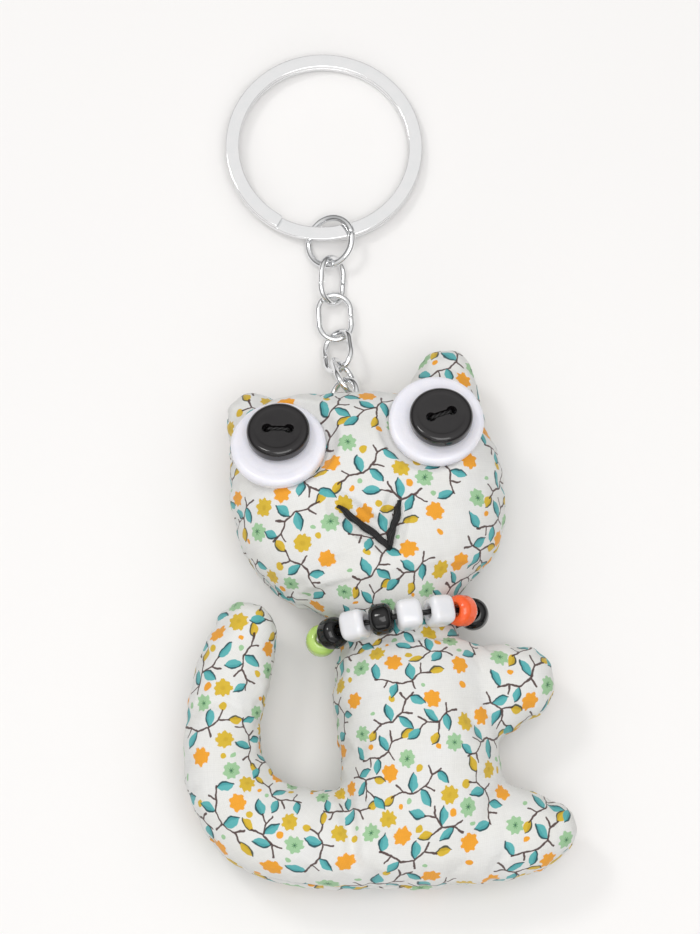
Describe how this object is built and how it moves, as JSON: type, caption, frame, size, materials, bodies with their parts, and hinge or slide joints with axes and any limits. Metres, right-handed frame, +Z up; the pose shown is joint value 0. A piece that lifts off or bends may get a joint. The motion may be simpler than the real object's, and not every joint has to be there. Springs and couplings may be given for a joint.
{
  "type": "plush keychain",
  "caption": "Stuffed printed-cotton cat charm with button eyes and a bead necklace, hung from a short wire chain and a flat split ring that holds keys.",
  "frame": {"origin": "middle of the bounding box on the table plane, with the cat lying on its back", "axes": "+Y from the cat towards the split ring, +Z up out of the cat's face, +X to the viewer's right when the face is read upright"},
  "size_m": [0.06, 0.1378, 0.0249],
  "materials": {
    "printed_cotton": "matte woven cotton with a small scattered print of leaves, flowers and twigs",
    "fibre_filling": "white fibre filling, hidden",
    "white_button": "pearly white moulded plastic",
    "black_button": "glossy black moulded plastic",
    "black_thread": "black sewing thread",
    "mouth_floss": "black stranded floss",
    "black_cord": "black waxed cord",
    "lime_bead": "gloss",
    "black_bead": "gloss",
    "white_bead": "satin gloss",
    "orange_bead": "gloss",
    "nickel_wire": "bright nickel plate",
    "nickel_band": "bright nickel plate"
  },
  "bodies": {
    "plush": {"front_panel": "printed_cotton", "back_panel": "printed_cotton", "stuffing": "fibre_filling", "left_eye_disc": "white_button", "right_eye_disc": "white_button", "left_eye_button": "black_button", "right_eye_button": "black_button", "left_eye_thread": "black_thread", "right_eye_thread": "black_thread", "mouth_left_stitch": "mouth_floss", "mouth_right_stitch": "mouth_floss", "necklace_cord": "black_cord", "necklace_knot": "black_cord"},
    "bead_green": {"bead_green": "lime_bead"},
    "bead_black_left": {"bead_black_left": "black_bead"},
    "bead_white_left": {"bead_white_left": "white_bead"},
    "bead_black_middle": {"bead_black_middle": "black_bead"},
    "bead_white_middle": {"bead_white_middle": "white_bead"},
    "bead_white_right": {"bead_white_right": "white_bead"},
    "bead_orange": {"bead_orange": "orange_bead"},
    "bead_black_right": {"bead_black_right": "black_bead"},
    "head_ring": {"head_ring": "nickel_wire"},
    "chain_link_4": {"chain_link_4": "nickel_wire"},
    "chain_link_3": {"chain_link_3": "nickel_wire"},
    "chain_link_2": {"chain_link_2": "nickel_wire"},
    "chain_link_1": {"chain_link_1": "nickel_wire"},
    "small_ring": {"small_ring": "nickel_wire"},
    "split_ring": {"split_ring": "nickel_band"}
  },
  "joints": [
    {"name": "head_ring_turn", "type": "hinge", "parent": "plush", "child": "head_ring", "pos_m": [-0.00553, 0.0091, 0.00933], "axis": [-0.6642, 0.1238, 0.7372], "range_deg": [-20, 20]},
    {"name": "link_4_swing", "type": "hinge", "parent": "head_ring", "child": "chain_link_4", "pos_m": [-0.00591, 0.01156, 0.00857], "axis": [0.7331, 0.301, 0.6099], "range_deg": [-5, 40]},
    {"name": "link_3_swing", "type": "hinge", "parent": "chain_link_4", "child": "chain_link_3", "pos_m": [-0.00606, 0.01561, 0.00448], "axis": [0.6174, -0.3886, -0.684], "range_deg": [-40, 35]},
    {"name": "link_2_swing", "type": "hinge", "parent": "chain_link_3", "child": "chain_link_2", "pos_m": [-0.00695, 0.02139, 0.00188], "axis": [0.7442, 0.3462, 0.5712], "range_deg": [-15, 45]},
    {"name": "link_1_swing", "type": "hinge", "parent": "chain_link_2", "child": "chain_link_1", "pos_m": [-0.00725, 0.02774, 0.00214], "axis": [0.9934, 0.0569, -0.0993], "range_deg": [-24, 15]},
    {"name": "small_ring_swing", "type": "hinge", "parent": "chain_link_1", "child": "small_ring", "pos_m": [-0.00723, 0.03386, 0.0025], "axis": [0.6587, -0.0413, -0.7513], "range_deg": [-40, 30]},
    {"name": "split_ring_swing", "type": "hinge", "parent": "small_ring", "child": "split_ring", "pos_m": [-0.0085, 0.038, 0.0022], "axis": [0.8829, 0, -0.4695], "range_deg": [-60, 60]},
    {"name": "bead_green_spin", "type": "hinge", "parent": "plush", "child": "bead_green", "pos_m": [-0.00904, -0.03073, 0.01069], "axis": [-0.0984, -0.0297, -0.9947], "continuous": true},
    {"name": "bead_black_left_spin", "type": "hinge", "parent": "plush", "child": "bead_black_left", "pos_m": [-0.00724, -0.03036, 0.01483], "axis": [-0.6359, -0.1216, -0.7621], "continuous": true},
    {"name": "bead_white_left_spin", "type": "hinge", "parent": "plush", "child": "bead_white_left", "pos_m": [-0.00382, -0.02972, 0.0175], "axis": [-0.8805, -0.1608, -0.446], "continuous": true},
    {"name": "bead_black_middle_spin", "type": "hinge", "parent": "plush", "child": "bead_black_middle", "pos_m": [0.00018, -0.029, 0.01879], "axis": [-0.9713, -0.1733, -0.1627], "continuous": true},
    {"name": "bead_white_middle_spin", "type": "hinge", "parent": "plush", "child": "bead_white_middle", "pos_m": [0.00437, -0.02826, 0.01891], "axis": [-0.9796, -0.1714, 0.1048], "continuous": true},
    {"name": "bead_white_right_spin", "type": "hinge", "parent": "plush", "child": "bead_white_right", "pos_m": [0.00909, -0.02745, 0.01758], "axis": [-0.8889, -0.1514, 0.4324], "continuous": true},
    {"name": "bead_orange_spin", "type": "hinge", "parent": "plush", "child": "bead_orange", "pos_m": [0.01256, -0.02687, 0.01499], "axis": [-0.656, -0.1064, 0.7472], "continuous": true},
    {"name": "bead_black_right_spin", "type": "hinge", "parent": "plush", "child": "bead_black_right", "pos_m": [0.01449, -0.02658, 0.01091], "axis": [-0.1343, -0.0114, 0.9909], "continuous": true}
  ]
}
